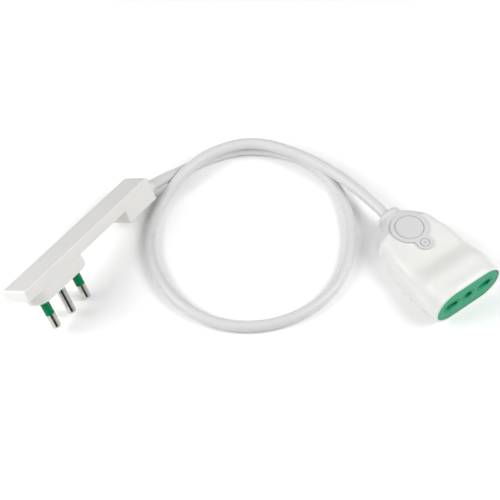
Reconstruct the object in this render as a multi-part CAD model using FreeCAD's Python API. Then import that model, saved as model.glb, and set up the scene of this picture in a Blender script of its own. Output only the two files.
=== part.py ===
import FreeCAD, Part
import math
import os

# Short extension lead: a flat three-pin plug, a round cord and an in-line three-hole socket.
# Millimetres, +Z up. The socket lies on the floor (Z = 0) with its face towards -Y, its row of
# holes along X, and the origin under the middle of the socket. The plug has a frame of its own:
# +X along the bar to the cable block, Z = 0 on the flat back, and the pins towards -Z.

os.makedirs("parts", exist_ok=True)

V = FreeCAD.Vector
CLEAR = 0.05          # gap round pieces that are fitted into one another
PAST = 40.0           # cutting shapes reach this far, past the sides of the socket

# ---- socket ----
FACE_Y = -33.3        # front rim of the shell
CAP_Y = 19.5          # where the shell ends and the grey strain relief begins
REAR_Y = 33.3         # rear end of the strain relief
HEIGHT = 25.0
HOLE_Z = HEIGHT / 2   # height of the row of holes
CORD_Z = 10.2         # height of the cord where it enters, as the shell thins to the rear
WALL = 2.0
RIM = 1.1             # white edge round the green face
RIM_ROUND = 0.8
FACE_RECESS = 0.3
FACE_THICK = 3.0

# y, half width, bottom, top, radius of the top corners, radius of the bottom corners.
# The front block is tall; behind it the top slopes down to a lower, squarer body.
SHELL_SECTIONS = [
    (FACE_Y, 22.4, -0.2, HEIGHT, 12.2, 12.2),
    (-27.0, 22.6, -0.2, HEIGHT, 12.1, 11.0),
    (-20.5, 22.5, -0.2, 24.9, 11.9, 9.0),
    (-15.0, 22.0, -0.2, 22.4, 10.0, 7.2),
    (-9.0, 21.3, -0.2, 19.0, 6.5, 5.6),
    (-2.0, 20.8, -0.2, 18.4, 6.0, 5.0),
    (5.0, 20.4, -0.2, 18.4, 6.0, 5.0),
    (10.0, 19.3, -0.1, 18.3, 6.2, 5.0),
    (15.0, 18.4, 0.2, 18.1, 6.6, 5.4),
    (CAP_Y, 17.2, 0.8, 17.9, 7.0, 6.4),
]
CAP_SECTIONS = [
    (CAP_Y, 17.2, 0.8, 17.9, 7.0, 6.4),
    (24.0, 14.2, 1.6, 17.3, 6.9, 6.9),
    (28.0, 10.0, 2.8, 16.8, 6.6, 6.6),
    (31.0, 6.2, 4.0, 16.4, 6.1, 6.1),
]
COLLAR_R = 7.3        # thick ring round the cord at the rear end
COLLAR_LONG = 4.2
COLLAR_ROUND = 1.7

# ---- pins and holes of the type L system ----
PITCH = 13.0          # 16 A pins, centre to centre
PITCH_SMALL = 9.5     # 10 A pins
PIN_R = 2.5
PIN_LONG = 19.0
HOLE_R = 2.6
HOLE_SMALL_R = 2.1
MARK_GAP = 1.0        # engraved line round each hole
MARK_WIDE = 0.35
MARK_DEEP = 0.25

# ---- grey disc and lobe on the strain relief ----
DISC_Y = 16.0
DISC_R = 10.3
LOBE_Y = 3.0
LOBE_R = 4.2
PROUD = 1.0           # how far the disc and lobe stand above the shell
DISC_RING_R = 7.9
LOBE_RING_R = 2.5
RING_WIDE = 0.6
RING_DEEP = 0.35
LOBE_DOT_R = 0.7

# ---- shutters, springs and contacts ----
SHUTTER_FRONT = FACE_Y + 3.7
SHUTTER_BACK = FACE_Y + 6.7
SHUTTER_SLOPE = 2.4   # how far the ramp leans back over the height of the blade
SHUTTER_COVER = 0.6   # margin of the blade round its hole
SHELF_BACK = FACE_Y + 12.9
SHELF_HALF = 2.1
SHELF_UNDER = 13.0
SHELF_THICK = 2.2
SPRING_X = 10.2
SPRING_Y = FACE_Y + 10.1
SPRING_SEAT = 3.0
SPRING_R = 1.6
SPRING_WIRE = 0.25
SPRING_TURNS = 6
CARRIER_FRONT = FACE_Y + 13.7
CARRIER_BACK = FACE_Y + 24.3
CARRIER_GAP = 0.15
RIB_FRONT = FACE_Y + 3.5
RIB_LOW = 4.0
POST_LAP = 0.5        # the post overlaps the rib above it
RIB_HIGH = 20.2
RIB_IN = 4.6          # the ribs beside the shutters stand between these two distances
RIB_OUT = 5.9
SEAT_FRONT = FACE_Y + 7.3
SEAT_LOW = 2.3
SEAT_OUT = 12.6
CONTACT_FRONT = FACE_Y + 14.3
EARTH_FRONT = FACE_Y + 5.3
CONTACT_BACK = FACE_Y + 26.3
CONTACT_WALL = 0.7
CONTACT_PLATE = 0.8
BARREL_R = 1.9
BARREL_BACK = FACE_Y + 32.3
CORE_R = 1.25

# ---- cord ----
CORD_R = 3.1
JACKET_Y = 14.5       # where the sheath ends inside the socket
CORE_STRAIGHT = 8.5   # straight run of a core behind its contact
CORE_ENTRY = 5.0      # straight run in front of the sheath
CORE_OFF_X = 1.3      # where the three cores enter the sheath, from its middle
CORE_OFF_Z = 1.5
ANCHOR_BACK = 18.4
ANCHOR_LONG = 3.4
ANCHOR_R = 4.3
# The cord leaves the socket, climbs on itself, lies once round in a loop and goes into the plug.
CORD_ROUTE = [
    (0.0, JACKET_Y, CORD_Z),
    (0.0, 43.0, CORD_Z),
    (-3.5, 72.0, 10.0),
    (-12.0, 98.0, 9.8),
    (-27.5, 121.5, 9.8),
    (-52.0, 129.5, 9.8),
    (-74.5, 126.5, 8.6),
    (-90.5, 121.5, 3.2),
    (-106.5, 110.5, CORD_R),
    (-120.0, 92.0, CORD_R),
    (-125.5, 65.0, CORD_R),
    (-117.5, 38.0, CORD_R),
    (-97.0, 19.5, CORD_R),
    (-69.0, 12.0, CORD_R),
    (-39.5, 19.5, CORD_R),
    (-16.5, 42.5, CORD_R),
    (-4.5, 72.0, CORD_R),
    (-9.5, 101.0, CORD_R),
    (-29.8, 123.6, CORD_R),
    (-51.3, 130.4, CORD_R),
    (-70.0, 131.7, CORD_R),
    (-87.5, 130.0, 8.6),
    (-104.7, 126.4, 13.2),
]

# ---- plug ----
BAR_LONG = 107.5
BAR_WIDE = 17.5
BAR_THICK = 6.6
PLUG_THICK = 14.1     # at the boss and the cable block
BLOCK_LONG = 25.0
PIN_X = 26.4          # middle pin, from the end of the bar
BOSS_HALF = 20.5
BOSS_INSET = 0.4
EDGE = 0.5            # bevel on the box-like edges
LID_THICK = 1.8
LID_INSET = 1.2
LID_LEDGE = 1.5       # the cover rests on this
LID_EDGE = 0.3
SIDE_WALL = 2.4
CHANNEL_FLOOR = -5.0
POCKET_FLOOR = -12.0
SLEEVE_LONG = 10.0    # from the boss
NECK_R = 2.3          # pin where it passes through the boss, and just outside it
NECK_OUT = 0.3
TIP_ROUND = 1.3
CORE_PIN_R = 1.9
SLEEVE_GAP = 0.02
HEAD_R = 3.5
HEAD_THICK = 1.4
STUB_R = 1.6
STUB_TOP = -2.3
RETAINER_THICK = 1.5
RETAINER_GAP = 0.1
CORE_Y = 3.4          # spacing of the cores in the bar
CORE_Z = -3.6
CORE_BEND = 10.5      # an outer core starts to turn in this far from its pin
CORE_LEAD_IN = 6.0    # and is in line with it from here
CORE_SHORT = 0.5      # the cores stop this far inside the cable block's wall
BUSH_R = 4.0
BUSH_OUT = 4.0        # how far the bush stands out of the cable block
BUSH_IN = 1.0
BUSH_ROUND = 0.5
CLAMP_LONG = 2.8
CLAMP_WALL = 1.6
CLAMP_GAP = 0.3       # between the clamp and the inner end of the bush
PLUG_AT = (-198.1, 95.3, 36.05)
PLUG_YAW = 21.8
PLUG_PITCH = 10.7
PLUG_ROLL = -31.4


# ---- general shapes ----

def save(name, shape):
    """Write one node and print its size."""
    if not shape.isValid():
        print("NOT VALID", name)
    box = shape.BoundBox
    print(f"{name}: {len(shape.Solids)} solid, {shape.Volume:.1f} mm3, lowest {box.ZMin:.2f}")
    shape.exportStep(f"parts/{name}.step")


def rounded_rectangle(y, half_w, low, high, top_r, bottom_r):
    """Closed outline in the plane of one y, between two heights."""
    edges = []
    for sx, sz in [(1, 1), (-1, 1), (-1, -1), (1, -1)]:
        radius = top_r if sz > 0 else bottom_r
        bow = radius * (1 - math.sqrt(0.5))
        edge_z = high if sz > 0 else low
        first = V(sx * half_w, y, edge_z - sz * radius)
        middle = V(sx * (half_w - bow), y, edge_z - sz * bow)
        last = V(sx * (half_w - radius), y, edge_z)
        if sx * sz < 0:
            first, last = last, first
        edges.append(Part.Arc(first, middle, last).toShape())
    joined = []
    for here, after in zip(edges, edges[1:] + edges[:1]):
        joined.append(here)
        joined.append(Part.LineSegment(here.lastVertex(True).Point, after.firstVertex(True).Point).toShape())
    return Part.Wire(joined)


def section(station, grow=0.0):
    y, half_w, low, high, top_r, bottom_r = station
    return rounded_rectangle(y, half_w + grow, low - grow, high + grow, top_r + grow, bottom_r + grow)


def skin(stations, grow=0.0):
    """Smooth closed solid through the sections, grown or shrunk all round."""
    return Part.makeLoft([section(s, grow) for s in stations], True, False)


def slab(x0, x1, y0, y1, z0, z1):
    return Part.makeBox(x1 - x0, y1 - y0, z1 - z0, V(x0, y0, z0))


def rod_y(x, z, radius, y0, y1):
    return Part.makeCylinder(radius, y1 - y0, V(x, y0, z), V(0, 1, 0))


def pear(side, grow, y0, y1, z=HOLE_Z):
    """Prism of the two-size hole: a large circle outside, a small one inside, and their tangents."""
    big, small = HOLE_R + grow, HOLE_SMALL_R + grow
    gap = PITCH - PITCH_SMALL
    lean = math.asin((big - small) / gap)
    big_x, small_x = side * PITCH, side * PITCH_SMALL

    def on(centre_x, radius, sign):
        return V(centre_x - side * radius * math.sin(lean), y0, z + sign * radius * math.cos(lean))

    outer = V(big_x + side * big, y0, z)
    inner = V(small_x - side * small, y0, z)
    wire = Part.Wire([
        Part.Arc(on(big_x, big, 1), outer, on(big_x, big, -1)).toShape(),
        Part.LineSegment(on(big_x, big, -1), on(small_x, small, -1)).toShape(),
        Part.Arc(on(small_x, small, -1), inner, on(small_x, small, 1)).toShape(),
        Part.LineSegment(on(small_x, small, 1), on(big_x, big, 1)).toShape(),
    ])
    return Part.Face(wire).extrude(V(0, y1 - y0, 0))


def rounded_path(points):
    """Straight runs joined by tangent arcs, each as large as its two runs allow."""
    pts = [V(*p) for p in points]
    edges, radii = [], []
    start = pts[0]
    for before, corner, after in zip(pts, pts[1:], pts[2:]):
        into, out = corner - before, after - corner
        reach = 0.45 * min(into.Length, out.Length)
        turn = into.getAngle(out)
        radius = reach / math.tan(turn / 2)
        radii.append(radius)
        u_in = V(into).normalize()
        u_out = V(out).normalize()
        a, b = corner - u_in * reach, corner + u_out * reach
        inward = (u_out - u_in).normalize()
        middle = corner + inward * (radius / math.cos(turn / 2) - radius)
        edges.append(Part.LineSegment(start, a).toShape())
        edges.append(Part.Arc(a, middle, b).toShape())
        start = b
    edges.append(Part.LineSegment(start, pts[-1]).toShape())
    return Part.Wire(edges), radii


def tube(points, radius):
    """Round bar along a rounded path."""
    path, radii = rounded_path(points)
    start = V(*points[0])
    along = V(*points[1]) - start
    ring = Part.Wire(Part.makeCircle(radius, start, along))
    body = path.makePipeShell([ring], True, False)
    return body, radii, path.Length


# ---- socket ----

def socket_shell():
    outer = skin(SHELL_SECTIONS)
    front = [e for e in outer.Edges if max(abs(v.Point.y - FACE_Y) for v in e.Vertexes) < 0.01]
    outer = outer.makeFillet(RIM_ROUND, front)
    under = slab(-PAST, PAST, FACE_Y - 1, CAP_Y, -5, 0)
    outer = outer.cut(under)
    first, last = SHELL_SECTIONS[0], SHELL_SECTIONS[-1]
    cavity = skin([(FACE_Y - 1, *first[1:]), *SHELL_SECTIONS, (CAP_Y + 1, *last[1:])], -WALL)
    seat_y = FACE_Y + FACE_RECESS + FACE_THICK
    mouth = face_outline(FACE_Y - 1, CLEAR).extrude(V(0, seat_y - FACE_Y + 1, 0))
    return outer.cut(cavity).cut(mouth)


def face_outline(y, grow=0.0):
    return Part.Face(section((y, *SHELL_SECTIONS[0][1:]), grow - RIM))


def socket_face():
    front = FACE_Y + FACE_RECESS
    back = front + FACE_THICK
    plate = face_outline(front).extrude(V(0, FACE_THICK, 0))
    for side in (-1, 1):
        plate = plate.cut(pear(side, 0, front - 1, back + 1))
        line = pear(side, MARK_GAP + MARK_WIDE, front - 1, front + MARK_DEEP)
        plate = plate.cut(line.cut(pear(side, MARK_GAP, front - 1, front + MARK_DEEP)))
    plate = plate.cut(rod_y(0, HOLE_Z, HOLE_R, front - 1, back + 1))
    line = rod_y(0, HOLE_Z, HOLE_R + MARK_GAP + MARK_WIDE, front - 1, front + MARK_DEEP)
    return plate.cut(line.cut(rod_y(0, HOLE_Z, HOLE_R + MARK_GAP, front - 1, front + MARK_DEEP)))


def shutter(side):
    """Blade behind one outer hole, with a shelf at the back for its spring."""
    blade = pear(side, SHUTTER_COVER, SHUTTER_FRONT, SHUTTER_BACK)
    low, high = blade.BoundBox.ZMin, blade.BoundBox.ZMax
    ramp = Part.Face(Part.makePolygon([
        V(-PAST, SHUTTER_FRONT, low),
        V(-PAST, SHUTTER_FRONT + SHUTTER_SLOPE, high + 0.1),
        V(-PAST, SHUTTER_FRONT - 1, high + 0.1),
        V(-PAST, SHUTTER_FRONT - 1, low),
        V(-PAST, SHUTTER_FRONT, low),
    ])).extrude(V(2 * PAST, 0, 0))
    x0, x1 = sorted((side * (SPRING_X - SHELF_HALF), side * (SPRING_X + SHELF_HALF)))
    shelf = slab(x0, x1, SHUTTER_BACK - 1.0, SHELF_BACK, SHELF_UNDER, SHELF_UNDER + SHELF_THICK)
    return blade.cut(ramp).fuse(shelf).removeSplitter()


def shutter_spring(side):
    height = SHELF_UNDER - SPRING_SEAT - 2 * (SPRING_WIRE + CLEAR)
    path = Part.Wire(Part.makeHelix(height / SPRING_TURNS, height, SPRING_R))
    ring = Part.Wire(Part.makeCircle(SPRING_WIRE, V(SPRING_R, 0, 0), V(0, 1, 0)))
    coil = path.makePipeShell([ring], True, True)
    coil.translate(V(side * SPRING_X, SPRING_Y, SPRING_SEAT + SPRING_WIRE + CLEAR))
    return coil


def contact_carrier():
    """Green block that holds the three contacts, with guides and seats for the two shutters."""
    inside = skin(SHELL_SECTIONS, -WALL - CARRIER_GAP)
    block = inside.common(slab(-PAST, PAST, CARRIER_FRONT, CARRIER_BACK, -1, PAST))
    for side in (-1, 1):
        x0, x1 = sorted((side * RIB_IN, side * RIB_OUT))
        rib = slab(x0, x1, RIB_FRONT, CARRIER_FRONT + 1, RIB_LOW, RIB_HIGH)
        post = slab(x0, x1, SEAT_FRONT, CARRIER_FRONT + 1, SEAT_LOW, RIB_LOW + POST_LAP)
        x0, x1 = sorted((side * RIB_IN, side * SEAT_OUT))
        seat = slab(x0, x1, SEAT_FRONT, CARRIER_FRONT + 1, SEAT_LOW, SPRING_SEAT)
        block = block.fuse(rib).fuse(seat).fuse(post)
        block = block.cut(pear(side, CONTACT_WALL + CLEAR, CARRIER_FRONT - 1, CARRIER_BACK + 1))
    bore = HOLE_R + CONTACT_WALL + CLEAR
    return block.cut(rod_y(0, HOLE_Z, bore, CARRIER_FRONT - 1, CARRIER_BACK + 1)).removeSplitter()


def barrel(x):
    """Back plate and crimp barrel behind a contact."""
    tail = rod_y(x, HOLE_Z, BARREL_R, CONTACT_BACK - CONTACT_PLATE, BARREL_BACK)
    return tail.cut(rod_y(x, HOLE_Z, CORE_R + CLEAR, CONTACT_BACK, BARREL_BACK + 1))


def line_contact(side):
    body = pear(side, CONTACT_WALL, CONTACT_FRONT, CONTACT_BACK)
    body = body.cut(pear(side, 0, CONTACT_FRONT - 1, CONTACT_BACK - CONTACT_PLATE))
    x = side * (PITCH + PITCH_SMALL) / 2
    body = body.cut(rod_y(x, HOLE_Z, CORE_R + CLEAR, CONTACT_BACK, CONTACT_BACK + 1))
    return body.fuse(barrel(x)).removeSplitter()


def earth_contact():
    body = rod_y(0, HOLE_Z, HOLE_R + CONTACT_WALL, EARTH_FRONT, CONTACT_BACK)
    body = body.cut(rod_y(0, HOLE_Z, HOLE_R, EARTH_FRONT - 1, CONTACT_BACK - CONTACT_PLATE))
    return body.fuse(barrel(0)).removeSplitter()


def socket_core(from_x, to_x, to_z):
    """Insulated core from a contact's barrel to the end of the cord's sheath."""
    start_y = CONTACT_BACK + CLEAR
    return tube([
        (from_x, start_y, HOLE_Z),
        (from_x, start_y + CORE_STRAIGHT, HOLE_Z),
        (to_x, JACKET_Y - CORE_ENTRY, CORD_Z + to_z),
        (to_x, JACKET_Y - CLEAR, CORD_Z + to_z),
    ], CORE_R)[0]


def cord_anchor():
    front = ANCHOR_BACK - ANCHOR_LONG
    ring = rod_y(0, CORD_Z, ANCHOR_R, front, ANCHOR_BACK)
    return ring.cut(rod_y(0, CORD_Z, CORD_R + CLEAR, front - 1, ANCHOR_BACK + 1))


def top_outline(disc_r, lobe_r):
    """Upright prism of the disc, the lobe and the neck between them."""
    high = HEIGHT
    shape = Part.makeCylinder(disc_r, high, V(0, DISC_Y, CORD_Z))
    shape = shape.fuse(Part.makeCylinder(lobe_r, high, V(0, LOBE_Y, CORD_Z)))
    neck = slab(-lobe_r, lobe_r, LOBE_Y, DISC_Y, CORD_Z, CORD_Z + high)
    return shape.fuse(neck).removeSplitter()


def ring_cutter(y, radius):
    tall = Part.makeCylinder(radius + RING_WIDE / 2, PAST, V(0, y, CORD_Z))
    return tall.cut(Part.makeCylinder(radius - RING_WIDE / 2, PAST, V(0, y, CORD_Z)))


def strain_relief():
    """Grey rear cap with its collar, and the disc and lobe that lie on the shell."""
    cap = skin(CAP_SECTIONS)
    collar = rod_y(0, CORD_Z, COLLAR_R, REAR_Y - COLLAR_LONG, REAR_Y)
    collar = collar.makeFillet(COLLAR_ROUND, [e for e in collar.Edges if e.Closed])
    spigot = section(SHELL_SECTIONS[-1], -WALL - 0.1)
    spigot = Part.Face(spigot).extrude(V(0, ANCHOR_BACK + CLEAR - CAP_Y, 0))
    shell = skin(SHELL_SECTIONS)
    whole = [*SHELL_SECTIONS, *CAP_SECTIONS[1:]]
    patch = top_outline(DISC_R, LOBE_R).common(skin(whole, PROUD)).cut(shell)
    deep = skin(whole, PROUD - RING_DEEP)
    for y, radius in [(DISC_Y, DISC_RING_R), (LOBE_Y, LOBE_RING_R)]:
        patch = patch.cut(ring_cutter(y, radius).cut(deep))
    dot = Part.makeCylinder(LOBE_DOT_R, PAST, V(0, LOBE_Y, CORD_Z)).cut(deep)
    patch = patch.cut(dot)
    body = cap.fuse(collar).fuse(spigot).fuse(patch)
    return body.cut(rod_y(0, CORD_Z, CORD_R + CLEAR, CAP_Y - 10, REAR_Y + 1))


# ---- cord ----

def cord():
    body, radii, length = tube(CORD_ROUTE, CORD_R)
    print("cord radii", [round(r, 1) for r in radii])
    expected = math.pi * CORD_R ** 2 * length
    print(f"cord length {length:.1f}, volume {body.Volume:.0f}, section times length {expected:.0f}")
    return body


# ---- plug, in its own frame ----

def stadium(half_long, half_wide, x, z0, z1):
    """Upright prism with round ends."""
    low = min(z0, z1)
    high = abs(z1 - z0)
    reach = half_long - half_wide
    shape = slab(x - reach, x + reach, -half_wide, half_wide, low, low + high)
    for end in (-reach, reach):
        shape = shape.fuse(Part.makeCylinder(half_wide, high, V(x + end, 0, low)))
    return shape.removeSplitter()


def bevelled_box(x0, x1, y0, y1, z0, z1):
    box = slab(x0, x1, y0, y1, z0, z1)
    return box.makeChamfer(EDGE, box.Edges)


def exit_line():
    """Where the cord runs inside the cable block: a point and a direction in the plug's frame."""
    place = plug_placement().inverse()
    outer, inner = place.multVec(V(*CORD_ROUTE[-2])), place.multVec(V(*CORD_ROUTE[-1]))
    return inner, (outer - inner).normalize()


def plug_base():
    half = BAR_WIDE / 2
    bar = bevelled_box(0, BAR_LONG, -half, half, -BAR_THICK, 0)
    block = bevelled_box(BAR_LONG - BLOCK_LONG, BAR_LONG, -half, half, -PLUG_THICK, 0)
    boss = stadium(BOSS_HALF, half - BOSS_INSET, PIN_X, -PLUG_THICK, -BAR_THICK + 1)
    rim = [e for e in boss.Edges if max(abs(v.Point.z + PLUG_THICK) for v in e.Vertexes) < 0.01]
    boss = boss.makeChamfer(EDGE, rim)
    body = bar.fuse(block).fuse(boss)
    lid = lid_space(CLEAR)
    side = half - SIDE_WALL
    channel = slab(LID_INSET + LID_LEDGE, BAR_LONG - LID_INSET - LID_LEDGE, -side, side, CHANNEL_FLOOR, 0)
    pocket = stadium(BOSS_HALF - SIDE_WALL, side, PIN_X, POCKET_FLOOR, CHANNEL_FLOOR + 1)
    body = body.cut(lid).cut(channel).cut(pocket).cut(cable_well())
    for x in pin_places():
        body = body.cut(Part.makeCylinder(NECK_R + CLEAR, 6, V(x, 0, -PLUG_THICK - 2)))
    point, along = exit_line()
    return body.cut(Part.makeCylinder(BUSH_R + CLEAR, 2 * PAST, point, along)).removeSplitter()


def cable_well(shrink=0.0):
    """Hollow of the cable block."""
    side = BAR_WIDE / 2 - SIDE_WALL - shrink
    x0 = BAR_LONG - BLOCK_LONG + SIDE_WALL + shrink
    x1 = BAR_LONG - SIDE_WALL - shrink
    return slab(x0, x1, -side, side, POCKET_FLOOR + shrink, -LID_THICK - shrink)


def lid_space(grow=0.0):
    half = BAR_WIDE / 2 - LID_INSET + grow
    return slab(LID_INSET - grow, BAR_LONG - LID_INSET + grow, -half, half, -LID_THICK, 1.0)


def plug_back_cover():
    lid = lid_space().common(slab(-1, BAR_LONG + 1, -BAR_WIDE, BAR_WIDE, -LID_THICK, 0))
    top = [e for e in lid.Edges if min(v.Point.z for v in e.Vertexes) > -0.01]
    return lid.makeChamfer(LID_EDGE, top)


def pin_places():
    return [PIN_X + i * PITCH for i in (-1, 0, 1)]


def pin(x, sleeved):
    """Solid pin with a neck through the boss, a head inside it and a stub for its core."""
    tip = -PLUG_THICK - PIN_LONG
    shaft = Part.makeCylinder(PIN_R, PIN_LONG - NECK_OUT, V(x, 0, tip))
    end = [e for e in shaft.Edges if max(abs(v.Point.z - tip) for v in e.Vertexes) < 0.01]
    shaft = shaft.makeFillet(TIP_ROUND, end)
    if sleeved:
        shaft = shaft.cut(sleeve_ring(x, CORE_PIN_R))
    neck_r = min(NECK_R, CORE_PIN_R) if sleeved else NECK_R
    foot = -PLUG_THICK - NECK_OUT - 1.0
    outer_neck = Part.makeCylinder(neck_r, NECK_OUT + 1.0, V(x, 0, foot))
    neck = Part.makeCylinder(NECK_R, PLUG_THICK + POCKET_FLOOR, V(x, 0, -PLUG_THICK))
    head = Part.makeCylinder(HEAD_R, HEAD_THICK, V(x, 0, POCKET_FLOOR))
    stub = Part.makeCylinder(STUB_R, STUB_TOP - POCKET_FLOOR, V(x, 0, POCKET_FLOOR))
    return shaft.fuse(outer_neck).fuse(neck).fuse(head).fuse(stub).removeSplitter()


def sleeve_ring(x, inner_r):
    """Tube over the upper half of a pin."""
    high = SLEEVE_LONG - NECK_OUT
    foot = V(x, 0, -PLUG_THICK - SLEEVE_LONG)
    hollow = Part.makeCylinder(inner_r, high, foot)
    return Part.makeCylinder(PIN_R, high, foot).cut(hollow)


def pin_retainer():
    low = POCKET_FLOOR + HEAD_THICK
    half = BAR_WIDE / 2 - SIDE_WALL - RETAINER_GAP
    plate = stadium(BOSS_HALF - SIDE_WALL - RETAINER_GAP, half, PIN_X, low, low + RETAINER_THICK)
    for x in pin_places():
        plate = plate.cut(Part.makeCylinder(STUB_R + CLEAR, 4, V(x, 0, low - 1)))
    return plate


def plug_core(pin_x, y):
    """Insulated core along the bar, from the cable block to the stub of a pin."""
    end = (pin_x + STUB_R + CLEAR, 0.0, CORE_Z)
    start = (BAR_LONG - BLOCK_LONG + SIDE_WALL + CORE_SHORT, y, CORE_Z)
    if y == 0:
        return tube([start, end], CORE_R)[0]
    bend = (pin_x + CORE_BEND, y, CORE_Z)
    lead_in = (pin_x + CORE_LEAD_IN, 0.0, CORE_Z)
    return tube([start, bend, lead_in, end], CORE_R)[0]


def wall_distance():
    """Distance along the exit line from its inner end to the outside of the end wall."""
    point, along = exit_line()
    return (BAR_LONG - point.x) / along.x


def plug_bushing():
    """Short bush round the cord in the end wall, with a flange inside."""
    point, along = exit_line()
    out = wall_distance()
    inner = out - SIDE_WALL / along.x - BUSH_IN
    neck = Part.makeCylinder(BUSH_R, out + BUSH_OUT - inner, point + along * inner, along)
    end = [e for e in neck.Edges if (e.CenterOfMass - point).dot(along) > out + BUSH_OUT - 0.1]
    neck = neck.makeFillet(BUSH_ROUND, [e for e in end if e.Length < 2.1 * math.pi * BUSH_R][:1])
    return neck.cut(Part.makeCylinder(CORD_R + CLEAR, 2 * PAST, point, along))


def cord_clamp():
    """Saddle block that grips the sheath inside the cable block."""
    point, along = exit_line()
    start = wall_distance() - SIDE_WALL / along.x - BUSH_IN - CLAMP_GAP - CLAMP_LONG
    body = Part.makeCylinder(CORD_R + CLAMP_WALL, CLAMP_LONG, point + along * start, along)
    body = body.cut(Part.makeCylinder(CORD_R + CLEAR, 2 * PAST, point, along))
    return body.common(cable_well(CLEAR))


def plug_placement():
    turn = FreeCAD.Rotation(PLUG_YAW, PLUG_PITCH, PLUG_ROLL)
    return FreeCAD.Placement(V(*PLUG_AT), turn)


def placed(shape):
    moved = shape.copy()
    moved.Placement = plug_placement().multiply(moved.Placement)
    return moved


# ---- everything ----

def main():
    middle = (PITCH + PITCH_SMALL) / 2
    save("socket_shell", socket_shell())
    save("socket_face", socket_face())
    save("contact_carrier", contact_carrier())
    for name, side in [("left", -1), ("right", 1)]:
        save(f"shutter_{name}", shutter(side))
        save(f"shutter_spring_{name}", shutter_spring(side))
    save("live_contact", line_contact(1))
    save("neutral_contact", line_contact(-1))
    save("earth_contact", earth_contact())
    save("socket_wire_brown", socket_core(middle, CORE_OFF_X, -CORE_OFF_Z / 2))
    save("socket_wire_blue", socket_core(-middle, -CORE_OFF_X, -CORE_OFF_Z / 2))
    save("socket_wire_green_yellow", socket_core(0, 0, CORE_OFF_Z))
    save("socket_cord_anchor", cord_anchor())
    save("strain_relief", strain_relief())
    save("cord", cord())
    live_x, earth_x, neutral_x = pin_places()
    save("plug_base", placed(plug_base()))
    save("plug_back_cover", placed(plug_back_cover()))
    save("live_pin", placed(pin(live_x, True)))
    save("earth_pin", placed(pin(earth_x, False)))
    save("neutral_pin", placed(pin(neutral_x, True)))
    save("live_pin_sleeve", placed(sleeve_ring(live_x, CORE_PIN_R + SLEEVE_GAP)))
    save("neutral_pin_sleeve", placed(sleeve_ring(neutral_x, CORE_PIN_R + SLEEVE_GAP)))
    save("pin_retainer", placed(pin_retainer()))
    save("plug_wire_brown", placed(plug_core(live_x, -CORE_Y)))
    save("plug_wire_green_yellow", placed(plug_core(earth_x, CORE_Y)))
    save("plug_wire_blue", placed(plug_core(neutral_x, 0)))
    save("plug_bushing", placed(plug_bushing()))
    save("plug_cord_clamp", placed(cord_clamp()))


main()
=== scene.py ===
import bpy
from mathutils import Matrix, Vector


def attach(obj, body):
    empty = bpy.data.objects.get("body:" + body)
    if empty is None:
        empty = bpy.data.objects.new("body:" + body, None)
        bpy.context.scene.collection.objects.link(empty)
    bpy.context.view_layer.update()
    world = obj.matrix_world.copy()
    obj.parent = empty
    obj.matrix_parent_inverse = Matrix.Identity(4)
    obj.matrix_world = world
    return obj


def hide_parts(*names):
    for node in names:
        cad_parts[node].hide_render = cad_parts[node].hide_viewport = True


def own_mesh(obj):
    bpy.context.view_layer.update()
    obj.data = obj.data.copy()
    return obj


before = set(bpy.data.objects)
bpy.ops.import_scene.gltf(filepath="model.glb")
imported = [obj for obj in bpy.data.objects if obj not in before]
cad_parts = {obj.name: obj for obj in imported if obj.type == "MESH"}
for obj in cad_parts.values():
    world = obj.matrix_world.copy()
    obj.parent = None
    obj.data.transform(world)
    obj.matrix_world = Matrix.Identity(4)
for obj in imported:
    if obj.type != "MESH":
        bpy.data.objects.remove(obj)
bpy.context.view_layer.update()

# Short extension lead: a flat three-pin plug, a round cord and an in-line three-hole socket.
# The solid parts keep their shapes and get their materials here. The cord is a swept curve in
# place of its solid, and the two springs inside the socket are copies of their solids.

MM = 0.001

# ---- camera, in metres unless it says otherwise ----
CAMERA_AT = (-0.3058, -0.2553, 0.5679)
CAMERA_LOOKS = (0.3388, 0.4629, -0.8192)
CAMERA_LENS = 90.0      # mm
CAMERA_SENSOR = 36.0    # mm
CAMERA_NEAR = 0.01

# ---- lamps, room and floor ----
LIT_SPOT = (-0.09, 0.06, 0.0)
LAMP_SIZE = 0.45
LAMPS = [
    ("lamp_left", (-0.56, 0.33, 0.40), 3.0),    # name, place, watts
    ("lamp_right", (0.33, -0.25, 0.52), 2.9),
]
# Directions are measured as a cosine: 1 is straight to the front of the room, -1 to the back.
ROOM_FRONT = (-0.66, -0.75, 0.0)
ROOM_GRADE = (-0.6, 0.8)        # the room brightens from the first of these to the second
ROOM_BACK_LEVEL = 0.2
ROOM_FRONT_LEVEL = 0.78
UNLIT_AHEAD = (0.45, 0.6)       # the unlit corner fades in between these
UNLIT_BELOW = (0.22, 0.34)      # and fades out between these heights, where 1 is overhead
UNLIT_LEVEL = 0.02              # share of the light left in the corner
FLOOR_HALF = 3.0
FLOOR_COLOUR = (0.97, 0.97, 0.97, 1)
FLOOR_ROUGH = 0.9
FLOOR_SHINE = 0.1

# ---- surfaces ----
CLOUD = (55.0, 4.0, 0.6)        # scale, detail and roughness of the colour's soft patches
CLOUD_EDGES = (0.32, 0.68)      # noise levels at the darkest and the lightest colour
GRAIN_DETAIL = 3.0
GRAIN_ROUGH = 0.7
GRAIN_DEEP = 0.2 * MM
GLOSS_SPREAD = 0.06             # roughness varies by this much each way
GLOSS_LEAST = 0.03
SCATTER_DEEP = 1.5 * MM
SCATTER_TINT = (1.0, 0.9, 0.8)

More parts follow.
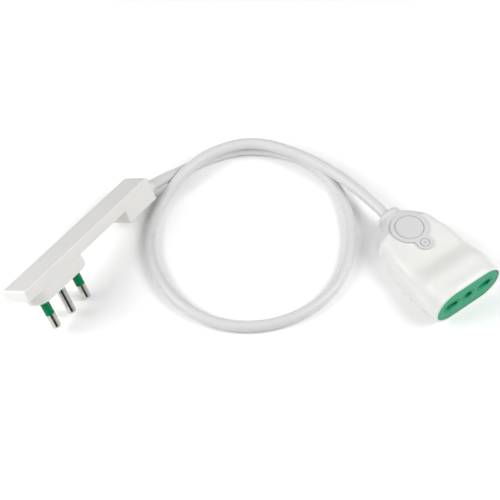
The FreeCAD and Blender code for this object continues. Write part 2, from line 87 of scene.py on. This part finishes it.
# ---- cord ----
CORD_R = 3.1 * MM
CORD_FACETS = 8                 # how finely the round section is stepped
CORD_STEPS = 24                 # steps between two points of the route
CORD_ROUTE = [
    (0.0, 0.0145, 0.0102),
    (0.0, 0.043, 0.0102),
    (-0.0035, 0.072, 0.010),
    (-0.012, 0.098, 0.0098),
    (-0.0275, 0.1215, 0.0098),
    (-0.052, 0.1295, 0.0098),
    (-0.0745, 0.1265, 0.0086),
    (-0.0905, 0.1215, 0.0032),
    (-0.1065, 0.1105, 0.0031),
    (-0.120, 0.092, 0.0031),
    (-0.1255, 0.065, 0.0031),
    (-0.1175, 0.038, 0.0031),
    (-0.097, 0.0195, 0.0031),
    (-0.069, 0.012, 0.0031),
    (-0.0395, 0.0195, 0.0031),
    (-0.0165, 0.0425, 0.0031),
    (-0.0045, 0.072, 0.0031),
    (-0.0095, 0.101, 0.0031),
    (-0.0298, 0.1236, 0.0031),
    (-0.0513, 0.1304, 0.0031),
    (-0.070, 0.1317, 0.0031),
    (-0.0875, 0.130, 0.0086),
    (-0.1047, 0.1264, 0.0132),
]


# ---- helpers ----

def srgb(r, g, b):
    """Colour from 0-255 display values to linear."""
    def line(v):
        v /= 255
        return v / 12.92 if v <= 0.04045 else ((v + 0.055) / 1.055) ** 2.4
    return (line(r), line(g), line(b), 1.0)


def placed(name, data):
    """New object in the scene."""
    made = bpy.data.objects.new(name, data)
    bpy.context.scene.collection.objects.link(made)
    return made


def aim(thing, at, way):
    """Puts a lamp or a camera in its place, facing a way."""
    thing.location = at
    thing.rotation_euler = Vector(way).to_track_quat("-Z", "Y").to_euler()


def add(tree, kind, **inputs):
    """New node, with inputs set by name; an underscore stands for a space."""
    node = tree.nodes.new(kind)
    for name, value in inputs.items():
        node.inputs[name.replace("_", " ")].default_value = value
    return node


def ranged(tree, value, low, high, at_low, at_high):
    """Output that goes evenly from one level to another as the value goes from low to high."""
    node = add(tree, "ShaderNodeMapRange", From_Min=low, From_Max=high, To_Min=at_low, To_Max=at_high)
    tree.links.new(value, node.inputs["Value"])
    return node.outputs["Result"]


def times(tree, a, b):
    """Output of one value times another."""
    node = tree.nodes.new("ShaderNodeMath")
    node.operation = "MULTIPLY"
    tree.links.new(a, node.inputs[0])
    tree.links.new(b, node.inputs[1])
    return node.outputs["Value"]


# ---- materials ----

def noise(tree, scale, detail, roughness):
    """Output of a noise that is fixed to the object."""
    place = tree.nodes.new("ShaderNodeTexCoord")
    node = add(tree, "ShaderNodeTexNoise", Scale=scale, Detail=detail, Roughness=roughness)
    tree.links.new(place.outputs["Object"], node.inputs["Vector"])
    return node.outputs["Fac"]


def clouded(tree, colour, mottle):
    """Colour with soft patches, darker and lighter by the share given as mottle."""
    tint = tree.nodes.new("ShaderNodeValToRGB")
    for stop, level, change in zip(tint.color_ramp.elements, CLOUD_EDGES, (-mottle, mottle)):
        stop.position = level
        stop.color = (*[min(1.0, c * (1 + change)) for c in colour[:3]], 1)
    tree.links.new(noise(tree, *CLOUD), tint.inputs["Fac"])
    return tint.outputs["Color"]


def painted_crease_shade(tree, colour, reach, share):
    """Colour with painted shade: darker in corners and grooves narrower than reach."""
    # The ambient occlusion darkens the colour itself, painting shade into corners and grooves.
    corner = add(tree, "ShaderNodeAmbientOcclusion", Distance=reach)
    mixed = add(tree, "ShaderNodeMixRGB", Fac=share)
    tree.links.new(colour, corner.inputs["Color"])
    tree.links.new(colour, mixed.inputs["Color1"])
    tree.links.new(corner.outputs["Color"], mixed.inputs["Color2"])
    return mixed.outputs["Color"]


def moulded(name, colour, rough, mottle=0.03, grain=900.0, bump=0.04, shine=0.5, metal=0.0,
            scatter=0.0, crease_shade=0.2, reach=0.8 * MM):
    """Surface with a faintly cloudy colour, painted shade in creases, a fine grain and an uneven gloss.
    """
    m = bpy.data.materials.new(name)
    m.use_nodes = True
    t = m.node_tree
    shader = t.nodes["Principled BSDF"]
    shader.inputs["Metallic"].default_value = metal
    shader.inputs["Specular IOR Level"].default_value = shine
    if scatter:
        shader.inputs["Subsurface Weight"].default_value = scatter
        shader.inputs["Subsurface Radius"].default_value = SCATTER_TINT
        shader.inputs["Subsurface Scale"].default_value = SCATTER_DEEP
    fine = noise(t, grain, GRAIN_DETAIL, GRAIN_ROUGH)
    gloss = ranged(t, fine, 0.0, 1.0, max(GLOSS_LEAST, rough - GLOSS_SPREAD), rough + GLOSS_SPREAD)
    relief = add(t, "ShaderNodeBump", Strength=bump, Distance=GRAIN_DEEP)
    t.links.new(fine, relief.inputs["Height"])
    # The base colour carries painted shade in corners and grooves.
    t.links.new(painted_crease_shade(t, clouded(t, colour, mottle), reach, crease_shade), shader.inputs["Base Color"])
    t.links.new(gloss, shader.inputs["Roughness"])
    t.links.new(relief.outputs["Normal"], shader.inputs["Normal"])
    return m


MAT = {
    "white": moulded("socket_plastic", srgb(226, 226, 223), rough=0.4, mottle=0.012, scatter=0.2),
    # The face's colour carries full-strength painted shade in its holes and engraved rings.
    "green": moulded("face_green_plastic", srgb(40, 160, 114), rough=0.38, shine=0.15, crease_shade=1.0,
                     reach=4 * MM),
    # The carrier and the shutters are partly dark in their own colour and partly darkened as painted
    # shade inside the socket's holes.
    "inner": moulded("inner_green_plastic_painted_shade", srgb(14, 62, 44), rough=0.55, shine=0.1),
    "shutter": moulded("shutter_plastic_painted_shade", srgb(16, 34, 27), rough=0.5, shine=0.1),
    "spring": moulded("spring_steel", srgb(190, 190, 190), rough=0.28, metal=1.0, grain=2500.0),
    "brass": moulded("contact_brass", srgb(210, 178, 110), rough=0.3, metal=1.0, mottle=0.05),
    "relief": moulded("relief_plastic", srgb(208, 208, 208), rough=0.48, mottle=0.02, grain=1400.0,
                      crease_shade=0.25),
    "cord": moulded("cord_pvc", srgb(212, 212, 212), rough=0.36, mottle=0.01, grain=500.0, bump=0.05,
                    scatter=0.25),
    "plug": moulded("plug_plastic", srgb(226, 225, 222), rough=0.46, mottle=0.012, scatter=0.15),
    # The back cover is a darker copy of the plug's white: painted shade on the plug's back face.
    "lid": moulded("plug_back_painted_shade", srgb(208, 207, 205), rough=0.5, mottle=0.015),
    "nickel": moulded("pin_nickel", srgb(205, 202, 196), rough=0.14, metal=1.0, mottle=0.05, bump=0.02),
    "sleeve": moulded("sleeve_green_plastic", srgb(0, 120, 73), rough=0.26, mottle=0.04, shine=0.15),
    "retainer": moulded("retainer_plastic", srgb(210, 210, 205), rough=0.55),
    "brown": moulded("core_brown", srgb(105, 62, 38), rough=0.4),
    "blue": moulded("core_blue", srgb(40, 95, 175), rough=0.4),
    "greenyellow": moulded("core_green_yellow", srgb(150, 175, 45), rough=0.4),
    "clamp": moulded("clamp_plastic", srgb(165, 165, 165), rough=0.55),
}
FINISH = {
    "socket_shell": "white",
    "socket_face": "green",
    "contact_carrier": "inner",
    "shutter_left": "shutter",
    "shutter_right": "shutter",
    "shutter_spring_left": "spring",
    "shutter_spring_right": "spring",
    "live_contact": "brass",
    "neutral_contact": "brass",
    "earth_contact": "brass",
    "socket_wire_brown": "brown",
    "socket_wire_blue": "blue",
    "socket_wire_green_yellow": "greenyellow",
    "socket_cord_anchor": "clamp",
    "strain_relief": "relief",
    "cord": "cord",
    "plug_base": "plug",
    "plug_back_cover": "lid",
    "live_pin": "nickel",
    "earth_pin": "nickel",
    "neutral_pin": "nickel",
    "live_pin_sleeve": "sleeve",
    "neutral_pin_sleeve": "sleeve",
    "pin_retainer": "retainer",
    "plug_wire_brown": "brown",
    "plug_wire_green_yellow": "greenyellow",
    "plug_wire_blue": "blue",
    "plug_bushing": "plug",
    "plug_cord_clamp": "clamp",
}
for name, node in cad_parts.items():
    node.data.materials.clear()
    node.data.materials.append(MAT[FINISH[name]])


# ---- cord ----

def make_cord():
    """Round sheath along the route, in place of the solid one."""
    curve = bpy.data.curves.new("cord_sheath", "CURVE")
    curve.dimensions = "3D"
    curve.bevel_depth = CORD_R
    curve.bevel_resolution = CORD_FACETS
    curve.use_fill_caps = True
    curve.resolution_u = CORD_STEPS
    spline = curve.splines.new("NURBS")
    spline.points.add(len(CORD_ROUTE) - 1)
    for point, at in zip(spline.points, CORD_ROUTE):
        point.co = (*at, 1.0)
    spline.order_u = 3
    spline.use_endpoint_u = True
    sheath = placed("cord_sheath", curve)
    curve.materials.append(MAT["cord"])
    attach(sheath, "socket")
    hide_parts("cord")


# ---- springs of the shutters ----

def make_spring(side):
    """The same coil as the solid one, as a mesh of its own."""
    name = "shutter_spring_" + side
    coil = placed("coil_" + side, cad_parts[name].data.copy())
    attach(coil, "socket")
    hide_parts(name)
    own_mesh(coil)


# ---- floor, light and camera ----

def make_floor():
    """Wide pale sheet that the part lies on."""
    corners = [(x * FLOOR_HALF, y * FLOOR_HALF, 0) for x, y in ((-1, -1), (1, -1), (1, 1), (-1, 1))]
    mesh = bpy.data.meshes.new("floor")
    mesh.from_pydata(corners, [], [(0, 1, 2, 3)])
    floor = placed("floor", mesh)
    m = bpy.data.materials.new("floor_paper")
    m.use_nodes = True
    shader = m.node_tree.nodes["Principled BSDF"]
    shader.inputs["Base Color"].default_value = FLOOR_COLOUR
    shader.inputs["Roughness"].default_value = FLOOR_ROUGH
    shader.inputs["Specular IOR Level"].default_value = FLOOR_SHINE
    mesh.materials.append(m)


def make_lamp(name, at, power):
    """Soft round lamp that points at the middle of the part."""
    data = bpy.data.lights.new(name, "AREA")
    data.shape = "DISK"
    data.size = LAMP_SIZE
    data.energy = power
    aim(placed(name, data), at, Vector(LIT_SPOT) - Vector(at))


def make_room():
    """Pale room, brighter to the front, with an unlit corner low down in front."""
    world = bpy.data.worlds.new("studio")
    bpy.context.scene.world = world
    world.use_nodes = True
    t = world.node_tree
    place = t.nodes.new("ShaderNodeTexCoord").outputs["Generated"]
    towards = t.nodes.new("ShaderNodeVectorMath")
    towards.operation = "DOT_PRODUCT"
    towards.inputs[1].default_value = ROOM_FRONT
    t.links.new(place, towards.inputs[0])
    height = t.nodes.new("ShaderNodeSeparateXYZ")
    t.links.new(place, height.inputs["Vector"])
    front = towards.outputs["Value"]
    level = ranged(t, front, *ROOM_GRADE, ROOM_BACK_LEVEL, ROOM_FRONT_LEVEL)
    ahead = ranged(t, front, *UNLIT_AHEAD, 0.0, 1.0)
    low = ranged(t, height.outputs["Z"], *UNLIT_BELOW, 1.0, 0.0)
    unlit = ranged(t, times(t, ahead, low), 0.0, 1.0, 1.0, UNLIT_LEVEL)
    t.links.new(times(t, level, unlit), t.nodes["Background"].inputs["Color"])


def make_camera():
    """View from above, in front and to the left."""
    data = bpy.data.cameras.new("camera")
    data.lens = CAMERA_LENS
    data.sensor_width = CAMERA_SENSOR
    data.clip_start = CAMERA_NEAR
    camera = placed("camera", data)
    aim(camera, CAMERA_AT, CAMERA_LOOKS)
    bpy.context.scene.camera = camera


make_cord()
for side in ("left", "right"):
    make_spring(side)
make_floor()
for name, at, power in LAMPS:
    make_lamp(name, at, power)
make_room()
make_camera()
bpy.context.scene.view_settings.view_transform = "Standard"
